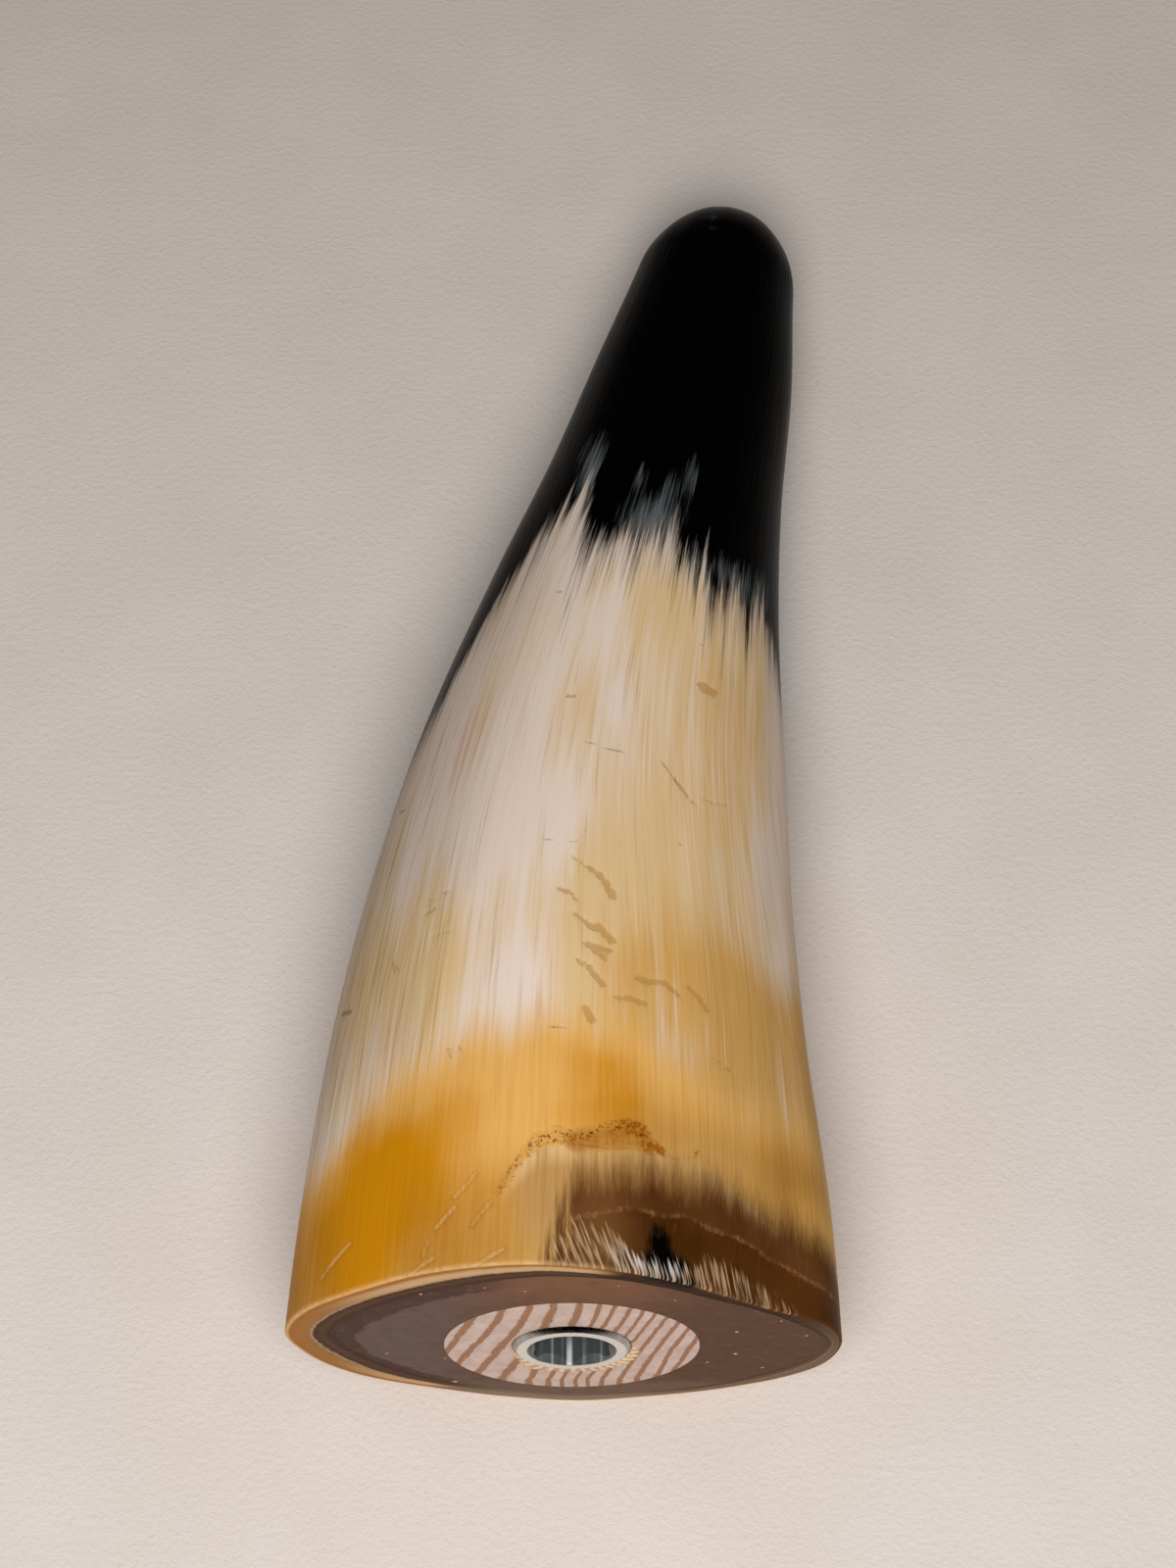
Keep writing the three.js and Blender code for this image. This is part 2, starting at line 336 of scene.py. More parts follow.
# Long fingers of white into the black, or below 0 of black into the white: [degrees, half width, mm].
INK_FINGERS = [
    (46, 2, 4), (53.5, 2, 4), (60.5, 3, 5), (66, 2, 2), (71.5, 2.2, -4), (95, 3, 2), (103, 2.5, 2),
    (107, 1.5, 0.5), (117.5, 1.0, 11), (121.5, 2, -3), (125, 0.9, 5), (124, 2.2, -5), (129.5, 1.5, -5),
    (134, 3, 3), (142, 2.2, -6), (144.5, 1, -4), (152, 3.5, 3), (205, 6, 9), (228, 5, -9), (262, 6, 10),
    (296, 5, -8), (322, 6, 8), (350, 4, -5),
]
AMBER_EDGE = [
    (0, 13), (16, 16), (24, 17), (32, 20.5), (42, 23), (55, 24.5), (65, 26.2), (75, 27.5), (85, 28.5),
    (95, 29), (104, 28.6), (110, 27), (120, 24), (135, 23), (150, 22.5), (165, 22), (180, 20), (205, 19),
    (240, 23), (275, 26), (310, 22), (335, 15),
]
MURK_EDGE = [
    (76, -14), (80, -8), (84, -3), (88, 5), (92, 10), (96, 10.3), (101, 10.9), (104, 11.4), (108, 12),
    (113, 12), (118, 11.4), (124, 12), (130, 12.2), (134, 12), (140, 12), (146, 11.7), (150, 11.4),
    (154, 11.1), (158, 11), (162, 10.8), (168, 10.4), (174, 9.4), (182, 7.6), (200, 7), (225, 3), (250, -4),
    (300, -14), (20, -14), (60, -15),
]
SAND_EDGE = [
    (60, -14), (74, 5), (77, 8), (80, 10.6), (83, 12.6), (87, 13.5), (96, 13.4), (104, 13.9), (112, 14.2),
    (120, 14.4), (132, 13), (150, 10), (170, 4), (190, -9), (260, -14), (340, -14),
]
SEAM = [
    (90, 5), (96, 5.9), (102, 6.9), (106, 7.3), (110, 7), (114, 7), (119, 7.7), (123, 7.4), (128, 6.9),
    (134, 6.9), (140, 6.8), (146, 6.4), (150, 5.7), (157, 5.3), (164, 4.4), (172, 3.8), (182, 3.4),
]
# The stain: its arch, the film under the arch, its thickest part, and the curl beyond its end.
STAIN = [
    (77, 8.3), (79, 10), (81.5, 12.2), (84, 13.7), (88, 14.5), (92, 14.6), (96, 15.4), (101, 16.3),
    (104.5, 17), (107.5, 16.6), (109, 15), (112.5, 14.4),
]
STAIN_FILL = [(92, 14), (98, 14.6), (104, 15.3), (108, 15)]
STAIN_BLOT = [(100, 16), (105, 16.6), (107.5, 16), (108.5, 14.6)]
STAIN_LOOP = [(112, 14.1), (117, 13.9), (121, 14.2), (123.2, 14.8), (124.3, 15.6)]
# From the cut face up to here the murky zone is scraped in pale, leaning streaks.
SCRAPE_EDGE = [
    (82, -3), (86, 1.5), (89, 4.5), (94, 6.5), (99, 6.2), (103, 4.6), (107, 3), (112, 2.6), (118, 3),
    (122, 3.2), (126, 4.6), (132, 5), (138, 4.8), (145, 4), (152, 3.2), (158, 2.2), (163, 0), (168, -3),
    (260, -3), (350, -3),
]
# Chips in the surface: [degrees, mm] of each end, and half the width in mm.
CHIPS = [
    (88, 49.5, 91, 48.7, 0.16), (92.5, 48.4, 96, 47.4, 0.3), (96, 47.4, 99.5, 45, 0.42),
    (86, 45, 88.5, 44.8, 0.34), (88.5, 44.8, 90.5, 43.8, 0.22), (90, 42, 93, 41.1, 0.22),
    (93, 41, 96, 40.4, 0.35), (96, 40.8, 100, 39.2, 0.42), (93.5, 38.2, 99.5, 37.8, 0.34),
    (95.5, 37.7, 98.5, 36.6, 0.3), (92, 36, 94.5, 35.2, 0.24), (94.5, 35.3, 98, 33.4, 0.34),
    (94, 30.2, 95.5, 28.8, 0.42), (101, 32, 104, 32, 0.26), (104, 32.2, 109, 31.9, 0.34),
    (107, 35, 111, 34.9, 0.42), (111, 35, 114.5, 35.3, 0.3), (114.5, 35.4, 119, 34.2, 0.32),
    (122, 35.7, 125.5, 34.9, 0.26), (125.5, 34.9, 129, 33.4, 0.3), (115, 63.3, 120, 61.5, 0.22),
    (121, 61.2, 125, 60.4, 0.1), (126, 62.2, 130, 62, 0.2), (130, 62.1, 135.5, 62.7, 0.14),
    (122, 78, 126, 77.8, 0.7), (126, 77.6, 128.5, 78.4, 0.35), (120, 84, 123, 83.8, 0.14),
    (79.5, 72, 81.5, 72.1, 0.22), (80, 73.7, 82.5, 73.5, 0.12), (49.5, 43.2, 52, 43.6, 0.3),
    (49, 45.4, 51.5, 44.8, 0.16), (54, 45.6, 56, 45.3, 0.24), (53, 40, 60, 40.3, 0.1),
    (41, 38, 43, 37, 0.12), (66, 88.2, 67.5, 88.2, 0.18), (63, 25.8, 64.2, 25.2, 0.12),
    (65.5, 26, 66.3, 25.2, 0.12), (130, 27.4, 137, 26.6, 0.08), (215, 40, 221, 38.6, 0.4),
    (240, 55, 246, 54, 0.3), (285, 33, 290, 30.6, 0.4), (300, 70, 303, 68, 0.3), (262, 20, 268, 19.2, 0.3),
    (330, 45, 333, 42.8, 0.3),
]
# The black burn at the cut face, in the same form.
SOOT = [
    (113, 0, 120, 0, 0.6), (111.8, 5.2, 112.4, 3.6, 0.3), (112.4, 3.7, 114, 2.2, 1.1),
    (111.5, 1.8, 118, 1, 1.1), (111, 0.2, 121, -0.2, 1.0),
]
# Thin dark scratches, and a hair on the surface, in the same form.
SCRATCHES = [
    (17, 34.9, 24, 34.3, 0.2), (20, 33.8, 22, 35.6, 0.08), (22, 59.8, 26, 59.5, 0.12),
    (80, 51.7, 85, 51.2, 0.01), (85, 51.2, 89, 51.6, 0.01), (89, 51.6, 91.5, 54, 0.01),
    (86, 65.8, 93, 65.2, 0.02), (93, 65.2, 99, 65, 0.05), (110, 65.2, 114, 63.6, 0.05),
    (114, 63.6, 117, 62.4, 0.08), (54, 40, 60, 40.3, 0.02), (50, 46.4, 50.6, 42.6, 0.06),
    (118, 54.6, 118.6, 54.3, 0.08), (61.5, 67.8, 63.5, 68.2, 0.03), (60, 61, 61, 58, 0.01),
    (86, 27.5, 91, 27.3, 0.05), (47.6, 88, 48.6, 87.6, 0.05), (63, 25.8, 63.8, 24.6, 0.06),
    (119, 84.2, 122, 83.7, 0.05), (40, 38.4, 41.5, 36.8, 0.05), (87, 13.9, 92, 13.8, 0),
    (92, 13.8, 98, 13.6, 0.02), (98, 13.6, 105, 14, 0.02),
]
# Saw and rasp marks near the cut face, in the same form.
GROOVES = [
    (71.8, 10.5, 70, 9.3, 0.08), (70, 9.3, 67.4, 8, 0.1), (67.6, 6.9, 66, 6.1, 0.13),
    (66, 6.1, 63.6, 4.8, 0.12), (75.4, 7.1, 73.4, 5.8, 0.1), (73.4, 5.8, 71.6, 4.6, 0.08),
    (38, 5.6, 34.5, 4.7, 0.14), (34.5, 4.7, 31.5, 3.8, 0.18), (31.5, 3.8, 28.5, 2.8, 0.12),
    (78.4, 1.7, 75, 0.7, 0.14), (75, 0.7, 72, -0.1, 0.1), (63.6, 1.5, 60, 0.6, 0.1),
    (62, 3.4, 61, 1.9, 0.06), (60, 0.6, 57.6, -0.1, 0.08), (230, 3, 236, 0.6, 0.12),
    (310, 5, 303, 2.2, 0.14),
]
# Soft spots of colour: [degrees, mm, reach in degrees, reach in mm, strength].
CREAM_SPOTS = [
    (84, 71, 6, 8, 0.5), (98, 87, 9, 6, 0.25), (86, 93, 9, 5, 0.2), (110, 88, 8, 6, 0.2),
    (105, 44, 10, 6, 0.6), (30, 23, 13, 4, 0.4), (40, 37, 24, 10, 0.75), (60, 36, 7, 10, 0.6),
    (50, 47, 5, 5, 0.5), (52, 70, 6, 12, 0.35), (60, 84, 10, 12, 0.25), (40, 88, 8, 6, 0.3),
    (80, 90, 5, 4, 0.3), (80, 43, 9, 6, 0.35), (88, 32, 8, 8, 0.2), (20, 50, 14, 22, 0.3),
    (250, 45, 60, 30, 0.7), (215, 60, 25, 25, 0.5), (94.5, 71.5, 2.6, 3.5, -0.5), (88, 86, 2.2, 6, -0.4),
    (156, 58, 8, 6, -0.4), (77, 32, 7, 4, -0.4),
]
HONEY_SPOTS = [
    (119, 27, 7, 3, -0.26), (136, 25, 16, 4, 0.3), (140, 32, 14, 4, 0.14), (138, 37, 22, 6, 0.35),
    (128, 79, 10, 6, 0.25), (140, 72, 8, 8, 0.2), (120, 47, 14, 4, 0.2), (225, 50, 34, 24, 0.55),
    (300, 40, 30, 18, 0.5), (45, 30, 20, 6, 0.2),
]
DEEP_SPOTS = [
    (42, 8, 19, 8, 0.7), (52, 15, 15, 5, 0.64), (16, 8, 10, 8, -0.14), (36, 18, 6, 4, 0.2),
    (72, 25, 10, 3, 0.05), (89, 24.5, 9, 3.5, 0.12), (99, 24, 9, 4, 0.42), (104, 21, 8, 4.5, 0.2),
    (102, 17.5, 8, 4.5, 0.5), (68, 17.5, 8, 4.5, 0.4), (91, 17, 7, 4, 0.44), (115, 16, 9, 4, 0.2),
    (132, 18, 14, 4, 0.12), (165, 16, 9, 6, 0.2), (152, 16, 16, 6, 0.4), (125, 22, 12, 3, 0.15),
    (300, 9, 44, 9, 0.8), (345, 7, 30, 8, 0.5), (250, 16, 30, 8, 0.4),
]
# Spots of the greyish blue veil over the black; the two at 153 to 156 mm are a painted reflection on the
# tip.
VEIL_AND_SHEEN_SPOTS = [
    (58, 110, 5, 5, 1.0), (51, 112, 5, 4, 0.6), (84, 107.5, 3, 2.5, 0.9), (88, 101, 9, 4, 1.0),
    (97, 107, 3, 3, 0.8), (105, 109, 3.5, 4, 1.0), (99, 102, 8, 4, 0.9), (114, 97, 4, 3, 0.6),
    (126, 97, 7, 3, 0.9), (140, 96, 8, 4, 0.9), (152, 98, 8, 4, 0.7), (42, 98, 5, 4, 0.5),
    (34, 88, 4, 4, 0.5), (61, 107, 4, 5, 0.9), (78, 155.4, 8, 1, 0.8), (84, 153, 7, 0.6, 0.7),
    (205, 88, 14, 6, 0.8), (262, 72, 16, 8, 0.9), (322, 68, 16, 7, 0.8),
]
CRUST_SPOTS = [(105.5, 16.4, 4, 1.5, 0.85), (111.5, 14.3, 2.6, 1, 1.3), (124, 15.3, 1.4, 0.6, 0.9)]
PINK_SPOTS = [(48, 66, 9, 7, 1), (200, 60, 14, 9, 1)]
# Painted highlight on the scraped streaks over the burn.
GLEAM_SPOTS = [(107, 1.6, 5, 1.5, 1), (115.5, 1.8, 3.6, 1.5, 1)]
PALE_MURK_SPOTS = [(97, 4, 7, 6, 1)]
LINED_SPOTS = [(36, 36, 24, 24, 0.9), (130, 36, 20, 18, 0.15), (74, 58, 12, 14, -0.4)]
# Broad areas with soft edges: [from degrees, to degrees, from mm, to mm, strength].
CREAM_AREAS = [
    (91, 160, 26, 95, 0.68), (90, 108, 62, 92, -0.2), (85, 104, 30, 51, 0.45), (108, 128, 40, 62, 0.2),
    (76, 92, 60, 90, 0.16), (20, 60, 22, 40, 0.2),
]
HONEY_AREAS = [
    (96, 178, 12, 42, 0.74), (110, 152, 55, 88, 0.24), (108, 150, 36, 48, 0.2), (170, 250, 15, 50, 0.4),
]
DEEP_AREAS = [(0, 83, -9, 12, 0.52)]
# Painted shade: darker down the sides of the horn and near the cut face; a strength below 0 paints it
# lighter.
PAINTED_SHADE_AREAS = [
    (-80, 57, 26, 120, 0.13), (-80, 44, 18, 120, 0.12), (-80, 28, 12, 120, 0.06), (126, 260, 24, 120, 0.1),
    (44, 66, 46, 100, 0.07), (154, 180, 4, 18, 0.2), (117, 131, 18, 30, -0.06), (150, 260, 14, 120, 0.12),
    (106, 160, 8, 16, 0.22), (97, 176, 14, 19, 0.26), (55, 92, -9, 9, 0.3), (-60, 36, -9, 10, 0.25),
]


def spot(turn, along, middle_turn, middle_along, reach_turn, reach_along):
    """1 at the middle of a soft spot on the skin, 0 away from it. Turns are in degrees."""
    off = (turn - middle_turn + 180) % 360 - 180
    return np.exp(-((off / reach_turn) ** 2) - ((along - middle_along) / reach_along) ** 2)


def spots(turn, along, table):
    return sum(strength * spot(turn, along, *where) for *where, strength in table)


def rise(value, middle, reach):
    t = np.clip((value - middle) / (2 * reach) + 0.5, 0, 1)
    return t * t * (3 - 2 * t)


def areas(turn, along, table):
    total = 0
    for low_turn, high_turn, low_along, high_along, strength in table:
        middle = (low_turn + high_turn) / 2
        off = np.abs((turn - middle + 180) % 360 - 180)
        across = 1 - rise(off, (high_turn - low_turn) / 2, 8)
        total = total + strength * across * rise(along, low_along, 4) * (1 - rise(along, high_along, 7))
    return total


def line_distance(points, turns_and_alongs):
    """Distance in mm from points to a line over the skin, given by its corners."""
    corners = skin(
        np.array([along for _, along in turns_and_alongs], float),
        np.radians([turn for turn, _ in turns_and_alongs]),
    )
    nearest = np.full(len(points), np.inf)
    for a, b in zip(corners[:-1], corners[1:]):
        t = np.clip(((points - a) @ (b - a)) / ((b - a) @ (b - a)), 0, 1)
        nearest = np.minimum(nearest, np.linalg.norm(points - a - t[:, None] * (b - a), axis=1))
    return nearest


def strokes_distance(points, strokes):
    """Distance in mm to the edge of the nearest of several short strokes: below 0 is inside one."""
    nearest = np.full(len(points), 9.0)
    for turn0, along0, turn1, along1, half in strokes:
        nearest = np.minimum(nearest, line_distance(points, [(turn0, along0), (turn1, along1)]) - half)
    return nearest


def ink_height(turn, along):
    """Distance in mm past the ragged edge of the black, with its fingers."""
    ink = along - around(INK_EDGE, 360)(turn)
    for middle, half, reach in INK_FINGERS:
        off = np.abs((turn - middle + 180) % 360 - 180) / half
        ink -= reach * np.maximum(0, 1 - off) ** 1.5
    return ink


def stain_distance(points):
    """Distance in mm from the stain's lines: its curl is fainter, and its thickest part is wider."""
    stain = np.minimum(line_distance(points, STAIN), line_distance(points, STAIN_LOOP) + 0.4)
    return np.minimum(stain, line_distance(points, STAIN_BLOT) - 0.3)


def markings(points, turn, along):
    """Fields that the horn's material reads, for points on its skin. Turn is in degrees."""
    edges = {"amber": AMBER_EDGE, "murk": MURK_EDGE, "sand": SAND_EDGE, "scrape": SCRAPE_EDGE}
    strokes = {"soot": SOOT, "chip": CHIPS, "scratch": SCRATCHES, "groove": GROOVES}
    return {
        **{name: around(edge, 360)(turn) - along for name, edge in edges.items()},
        **{name: strokes_distance(points, table) for name, table in strokes.items()},
        "ink": ink_height(turn, along),
        "veil_and_sheen": spots(turn, along, VEIL_AND_SHEEN_SPOTS),
        "deep": spots(turn, along, DEEP_SPOTS) + areas(turn, along, DEEP_AREAS),
        "honey": spots(turn, along, HONEY_SPOTS) + areas(turn, along, HONEY_AREAS),
        "cream": spots(turn, along, CREAM_SPOTS) + areas(turn, along, CREAM_AREAS),
        "painted_shade": areas(turn, along, PAINTED_SHADE_AREAS),
        "pink": spots(turn, along, PINK_SPOTS),
        "lined": 1 + spots(turn, along, LINED_SPOTS),
        "seam": line_distance(points, SEAM),
        "under": np.interp(turn, *np.transpose(SEAM)) - along,
        "stain": stain_distance(points),
        "crust": 0.4 + spots(turn, along, CRUST_SPOTS),
        "film": line_distance(points, STAIN_FILL),
        "tan": rise(turn, 94, 4) * (1 - rise(turn, 140, 10)),
        "sand_fade": (turn - 86 + 0.8 * along) / 10 + 0.5,
        "murk_fade": np.minimum((turn - 85.6 + 0.5 * np.maximum(5 - along, 0)) / 7, (250 - turn) / 40),
        "pale_murk": spots(turn, along, PALE_MURK_SPOTS),
        "edge": np.clip(1.3 - along / 0.4, 0, 1),
        "gleam": np.minimum(1, spots(turn, along, GLEAM_SPOTS)),
        "leftness": np.cos(np.radians(turn - 16)),
        "upness": np.sin(np.radians(turn)),
    }


def grain_turn(turn, along):
    """Degrees round the horn of the fibre that comes out at a point: the fibres lean on the right."""
    t = np.clip((along - 30) / 48, 0, 1)
    return turn + 16 * t * t * (3 - 2 * t) * np.exp(-(((turn - 150) / 55) ** 2))


# ---- the horn ----
GRAIN_R = 26  # mm, so that the size of a streak is true near the base
SCRAPE_LEAN = 0.8  # degrees for each mm, how far the scraped streaks near the cut face lean
UPPER_SIDES = 200  # points over the top of a ring, from edge to edge
LOWER_SIDES = 100
HORN_TURNS = np.concatenate([
    np.linspace(0, math.pi, UPPER_SIDES, endpoint=False),
    np.linspace(math.pi, TAU, LOWER_SIDES, endpoint=False),
])
# Rows of points: over the dome of the tip, and then closer and closer down to the rim.
TIP_ROWS, COARSE_ROWS, FINE_ROWS, FINER_ROWS = 18, 84, 106, 58
FINE_FROM = 66
FINER_FROM = 18
TIP_CLOSE = 0.985  # share of a quarter turn at which the first row of the dome stands
WAVE_DEPTH = 0.05
CHIP_DEPTH = 0.05
GROOVE_DEPTH = 0.05
GROOVE_REACH = 0.35  # mm over which a groove comes up to the skin


def horn_rows():
    """Where along the horn its rows stand, from the tip down, and how far each is shrunk."""
    straight = HORN_LENGTH - TIP_ROUND
    dome = np.linspace(TIP_CLOSE, 0, TIP_ROWS, endpoint=False) * math.pi / 2
    alongs = np.concatenate([
        straight + (TIP_ROUND - 2 * SKIN_INSET) * np.sin(dome),
        np.linspace(straight, FINE_FROM, COARSE_ROWS, endpoint=False),
        np.linspace(FINE_FROM, FINER_FROM, FINE_ROWS, endpoint=False),
        np.linspace(FINER_FROM, RIM_ROUND, FINER_ROWS),
    ])
    return alongs, np.concatenate([np.cos(dome), np.ones(len(alongs) - len(dome))])


def skin_relief(along, turn, shrink):
    """How far the skin is raised: always below 0, so its waves, chips and saw marks stay inside the CAD."""
    smooth_skin = skin(along, turn, shrink).reshape(-1, 3)
    chips = strokes_distance(smooth_skin, CHIPS).reshape(along.shape)
    cuts = strokes_distance(smooth_skin, GROOVES).reshape(along.shape)
    return (
        -SKIN_INSET
        - WAVE_DEPTH * (1 + waves(np.degrees(turn) / 9, along / 30, 1))
        - CHIP_DEPTH * np.clip(0.5 - chips, 0, 1)
        - GROOVE_DEPTH * np.clip(1 - np.maximum(cuts, 0) / GROOVE_REACH, 0, 1)
    )


def make_horn(material):
    alongs, shrinks = horn_rows()
    along, turn = np.meshgrid(alongs, HORN_TURNS, indexing="ij")
    raised = skin_relief(along, turn, shrinks[:, None])
    rows = [skin(along, turn, shrinks[:, None], raised)]
    places = [np.stack([along, turn, 0 * along], -1)]

    def add_ring(ring, at, wall):
        rows.append(ring[None])
        places.append(np.stack([at, HORN_TURNS, np.full_like(HORN_TURNS, wall)], -1)[None])

    for angle in np.radians([22, 45, 68, 90]):  # the rounded rim
        at = np.full_like(HORN_TURNS, RIM_ROUND * (1 - math.sin(angle)))
        add_ring(skin(at, HORN_TURNS, 1, raised[-1] - RIM_ROUND * (1 - math.cos(angle))), at, 0)
    outside = rows[-1][0]
    inside = hollow_wall(0 * HORN_TURNS, HORN_TURNS)
    for share in np.linspace(0, 1, 15)[1:]:  # across the cut
        add_ring(outside + (inside - outside) * share, 0 * HORN_TURNS, share)
    for angle in np.linspace(0, math.pi / 2, 20)[1:-1]:  # into the hollow
        at = np.full_like(HORN_TURNS, HOLLOW_DEPTH * math.sin(angle))
        add_ring(hollow_wall(at, HORN_TURNS, math.cos(angle) ** HOLLOW_BLUNTNESS), at, 1)
    grid = np.concatenate(rows)

    points = capped(grid)
    along, turn, wall = capped(np.concatenate(places)).T
    degrees = np.degrees(turn)
    degrees[-2:] = 90  # the two closing points have no direction of their own
    fields = {
        "grain": grain_places(grain_turn(degrees, along), along),
        "scraped": grain_places(degrees + SCRAPE_LEAN * along, along),
        "wall": wall,
        **markings(points, degrees, along),
    }
    faces = tube_faces(len(grid), len(HORN_TURNS), True)
    new_piece("horn_shell", "horn", points, faces, fields, material)


def grain_places(degrees, along):
    """Coordinates for streaks: as on a round bar, so that a streak keeps its width to the tip."""
    turn = np.radians(degrees)
    return np.stack([-np.cos(turn), along / GRAIN_R, np.sin(turn)], -1) * GRAIN_R


class HornPaint(Paint):
    """The horn's material, with the noises that its layers share."""

    def __init__(self):
        super().__init__("horn")
        grain = self.places("grain")
        self.cloud = self.noise(grain, 7.0, 3)
        self.broad = self.noise(grain, (3.2, 34, 3.2), 2)
        self.strands = self.noise(grain, (1.2, 22, 1.2), 3, 0.6)
        self.fine = self.noise(grain, (0.42, 14, 0.42), 2, 0.6)
        self.hairs = self.noise(grain, (0.25, 12, 0.25), 2, 0.6)
        self.ends = self.noise(grain, (0.5, 4, 0.5), 3, 0.7)
        self.flecks = self.noise(grain, (0.17, 2.2, 0.17), 3, 0.65)
        self.grit = self.noise(grain, 0.5, 3, 0.6)
        self.dots = self.noise(grain, 0.42, 4, 0.75)
        self.scraped = self.noise(self.places("scraped"), (0.28, 4, 0.28), 2, 0.6)


def horn_material():
    """Layers of colour, from the body of the horn outwards."""
    p = HornPaint()
    body = paint_body(p)
    for layer in (paint_amber, paint_sand, paint_murk, paint_foot, paint_stain):
        body = layer(p, body)
    body, chip_share = paint_wear(p, body)
    body, ink_share = paint_black(p, body)
    body = paint_cut_wall(p, body)
    gloss = p.plus(0.36, (p.fine, 0.03), (p.grit, 0.02), (ink_share, -0.12))
    relief = p.plus((p.fine, 0.5), (p.strands, 0.3), (p.grit, 0.12), (chip_share, -0.4))
    return p.finish(body, gloss, p.bump(relief, 0.03), Specular_IOR_Level=0.012)


def paint_body(p):
    """White and cream keratin, in streaks that run to the tip."""
    cream_share = p.plus("cream", strands=0.16, broad=0.22, fine=0.12)
    body = p.mix(p.smooth(cream_share, 0.0, 0.95), tone(238, 217, 200), tone(228, 194, 142))
    honey_share = p.plus("honey", strands=0.12, broad=0.18, fine=0.12)
    body = p.tint(p.smooth(honey_share, 0.05, 1.0), body, 216, 166, 92)
    dark_lines = p.plus(fine=0.4, strands=0.25, hairs=0.5)
    pale_lines = p.plus(fine=-0.4, strands=-0.25, hairs=-0.5)
    lined = p.field("lined")
    body = p.tint(p.smooth(p.times(dark_lines, lined), 0.1, 0.95, 0, 0.45), body, 160, 132, 88)
    body = p.tint(p.smooth(p.times(pale_lines, lined), 0.25, 1.0, 0, 0.4), body, 244, 230, 216)
    pink_share = p.times(p.smooth("pink", 0.1, 1.0), p.smooth(p.strands, 0.0, 0.5), 0.4)
    return p.tint(pink_share, body, 214, 150, 130)


def paint_amber(p, body):
    """The clear amber band, then painted shade down the sides and near the cut face."""
    amber_at = p.plus("amber", strands=1.0, fine=0.8, broad=1.6)
    deep = p.plus("deep", broad=0.08, cloud=0.14, fine=0.06)
    amber = p.mix(p.smooth(deep, 0.0, 0.95), tone(232, 178, 98), tone(211, 138, 8))
    amber = p.tint(p.smooth(p.fine, -0.2, 1.0, 0, 0.14), amber, 186, 122, 40)
    body = p.mix(p.smooth(amber_at, -4.5, 4.0), body, amber)
    # Painted shade down the sides and near the cut face.
    return p.tint(p.plus("painted_shade", fine=0.03), body, 84, 62, 44)


def paint_sand(p, body):
    """A sandy zone, light where it starts, under the arch of the stain."""
    depth = p.field("sand")
    sand = p.mix(p.smooth(depth, 0.3, 3.2), tone(226, 188, 132), tone(186, 142, 88))
    sand = p.tint(p.times("tan", 0.6), sand, 184, 134, 68)
    sand = p.tint(p.smooth(p.plus(p.strands, p.fine), -0.2, 1.2, 0, 0.6), sand, 168, 122, 66)
    sand = p.tint(p.smooth(p.plus(p.strands, p.hairs), -0.2, -1.2, 0, 0.5), sand, 226, 192, 140)
    edge = p.smooth(p.plus(depth, grit=0.08), -0.15, 0.5)
    sand_share = p.times(edge, p.smooth("sand_fade", 0, 1), p.smooth(depth, 18, 8))
    return p.mix(p.times(sand_share, 0.85), body, sand)


def paint_murk(p, body):
    """The murky brown zone near the cut face, clearer below its seam, with pale lines at its edge."""
    depth = p.field("murk")
    murk_at = p.plus(depth, strands=0.5, ends=0.6, flecks=0.9, broad=0.6)
    patches = p.smooth(p.cloud, -0.8, 0.8)
    murk = p.mix(patches, tone(74, 38, 12), tone(90, 52, 24))
    clear = p.mix(patches, tone(58, 26, 2), tone(80, 42, 12))
    murk = p.mix(p.smooth(p.plus("under", grit=0.2), -0.3, 0.5), murk, clear)
    murk = p.tint(p.times("pale_murk", 0.6), murk, 124, 82, 44)
    lines = p.plus(fine=0.35, strands=0.3, ends=0.2)
    sides = p.smooth(p.plus("murk_fade", (lines, 1.5)), 0, 1)
    body = p.mix(p.times(p.smooth(murk_at, -3.6, 3.2, 0, 0.97), sides), body, murk)
    pale_lines = p.smooth(p.plus(fine=0.5, ends=0.4, flecks=0.4), 0.3, 1.2, 0, 0.75)
    pale_share = p.times(pale_lines, p.smooth(depth, -1, 1), p.smooth(depth, 9, 3))
    return p.tint(pale_share, body, 174, 126, 80)


def paint_foot(p, body):
    """What lies on the murky zone: its seam, the burn, the scraped streaks with a painted highlight on them,
    and the worn rim.
    """
    seam = p.plus("seam", grit=0.26, ends=0.2)
    seam_share = p.times(p.smooth(seam, 0.42, 0.02), p.smooth(p.plus(p.strands, p.grit), -0.9, 0.6), 0.6)
    body = p.tint(seam_share, body, 156, 112, 70)
    soot = p.plus("soot", ends=0.5, cloud=0.3)
    body = p.tint(p.smooth(soot, 1.0, -0.4), body, 6, 4, 3)
    # Painted highlight: in the gleam spots the scraped streaks turn near white.
    gleam = p.field("gleam")
    reach = p.smooth("scrape", -0.8, 2.4, -0.7, 0.2)
    scrape = p.plus((p.scraped, 0.8), (gleam, 0.4), reach)
    pale = p.mix(gleam, tone(198, 166, 126), tone(236, 228, 220))
    body = p.mix(p.smooth(scrape, 0.05, 0.75, 0, 0.75), body, pale)
    leftward = p.smooth("leftness", -0.1, 0.5)
    worn = p.times("edge", leftward, p.smooth(p.grit, -0.8, 0.6, 0.2, 0.7))
    return p.tint(worn, body, 206, 172, 124)


